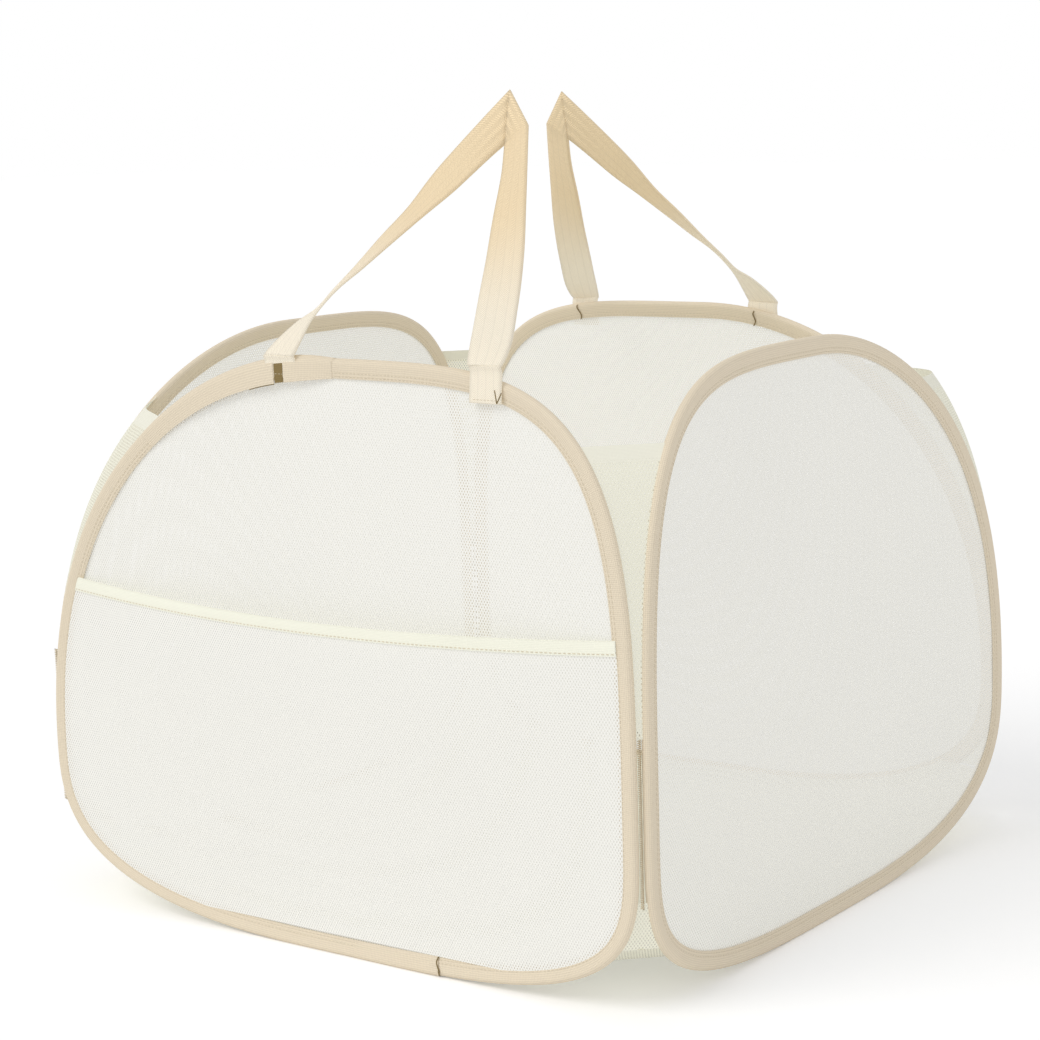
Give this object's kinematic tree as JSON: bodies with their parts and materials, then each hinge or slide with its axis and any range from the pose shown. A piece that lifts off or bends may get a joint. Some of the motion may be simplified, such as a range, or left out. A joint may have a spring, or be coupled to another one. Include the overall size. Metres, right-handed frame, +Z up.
{
  "type": "laundry hamper",
  "caption": "Square pop up laundry hamper: sprung wire hoops in cloth binding round mesh panels, with an outside pocket and webbing handles.",
  "frame": {"origin": "on the floor, under the middle of the hamper's length and width", "axes": "+Z up, -Y towards the side with the pocket, +X to the right of that side"},
  "size_m": [0.4996, 0.5134, 0.5496],
  "materials": {
    "binding_tape": "woven tape",
    "spring_wire": "drawn",
    "ferrule": "crimped",
    "mesh": "fine knitted mesh",
    "corner_cloth": "fine knitted mesh",
    "hem_tape": "woven tape",
    "thread": "spun",
    "webbing": "woven webbing"
  },
  "bodies": {
    "front": {"front_binding": "binding_tape", "front_hoop_wire": "spring_wire", "front_hoop_ferrule": "ferrule", "front_mesh_panel": "mesh", "front_pocket_mesh": "mesh", "front_pocket_hem": "hem_tape", "front_handle_left_foot": "webbing", "front_handle_right_foot": "webbing", "front_right_seam": "thread", "front_right_top_gusset": "corner_cloth", "front_right_gusset_hem": "hem_tape", "front_right_bottom_gusset": "corner_cloth", "left_front_seam": "thread", "left_front_top_gusset": "corner_cloth", "left_front_gusset_hem": "hem_tape", "left_front_bottom_gusset": "corner_cloth", "base_cloth": "corner_cloth"},
    "right": {"right_binding": "binding_tape", "right_hoop_wire": "spring_wire", "right_hoop_ferrule": "ferrule", "right_mesh_panel": "mesh", "right_back_seam": "thread", "right_back_top_gusset": "corner_cloth", "right_back_gusset_hem": "hem_tape", "right_back_bottom_gusset": "corner_cloth"},
    "back": {"back_binding": "binding_tape", "back_hoop_wire": "spring_wire", "back_hoop_ferrule": "ferrule", "back_mesh_panel": "mesh", "back_handle_left_foot": "webbing", "back_handle_right_foot": "webbing", "back_left_seam": "thread", "back_left_top_gusset": "corner_cloth", "back_left_gusset_hem": "hem_tape", "back_left_bottom_gusset": "corner_cloth"},
    "left": {"left_binding": "binding_tape", "left_hoop_wire": "spring_wire", "left_hoop_ferrule": "ferrule", "left_mesh_panel": "mesh"},
    "front_handle": {"front_handle": "webbing"},
    "back_handle": {"back_handle": "webbing"}
  },
  "joints": [
    {"name": "right_fold", "type": "hinge", "parent": "front", "child": "right", "pos_m": [0.2436, -0.23678, 0], "axis": [0, 0, 1], "range_deg": [-75, 75], "deforming": ["front_right_top_gusset", "front_right_gusset_hem", "front_right_bottom_gusset", "base_cloth", "back_left_top_gusset", "back_left_gusset_hem", "back_left_bottom_gusset"]},
    {"name": "left_fold", "type": "hinge", "parent": "front", "child": "left", "pos_m": [-0.2436, -0.23678, 0], "axis": [0, 0, 1], "range_deg": [-75, 75], "deforming": ["left_front_top_gusset", "left_front_gusset_hem", "left_front_bottom_gusset"]},
    {"name": "back_fold", "type": "hinge", "parent": "right", "child": "back", "pos_m": [0.2436, 0.25043, 0], "axis": [0, 0, 1], "range_deg": [-75, 75], "deforming": ["right_back_top_gusset", "right_back_gusset_hem", "right_back_bottom_gusset"]},
    {"name": "front_handle_hinge", "type": "hinge", "parent": "front", "child": "front_handle", "pos_m": [0.052, -0.22974, 0.3883], "axis": [0.9994, -0.0352, 0], "range_deg": [0, 200]},
    {"name": "back_handle_hinge", "type": "hinge", "parent": "back", "child": "back_handle", "pos_m": [-0.032, 0.24282, 0.3883], "axis": [-0.9998, 0.0217, 0], "range_deg": [0, 200]}
  ],
  "couplings": [
    {"joint": "left_fold", "follows": "right_fold", "ratio": 1},
    {"joint": "back_fold", "follows": "right_fold", "ratio": -1}
  ]
}
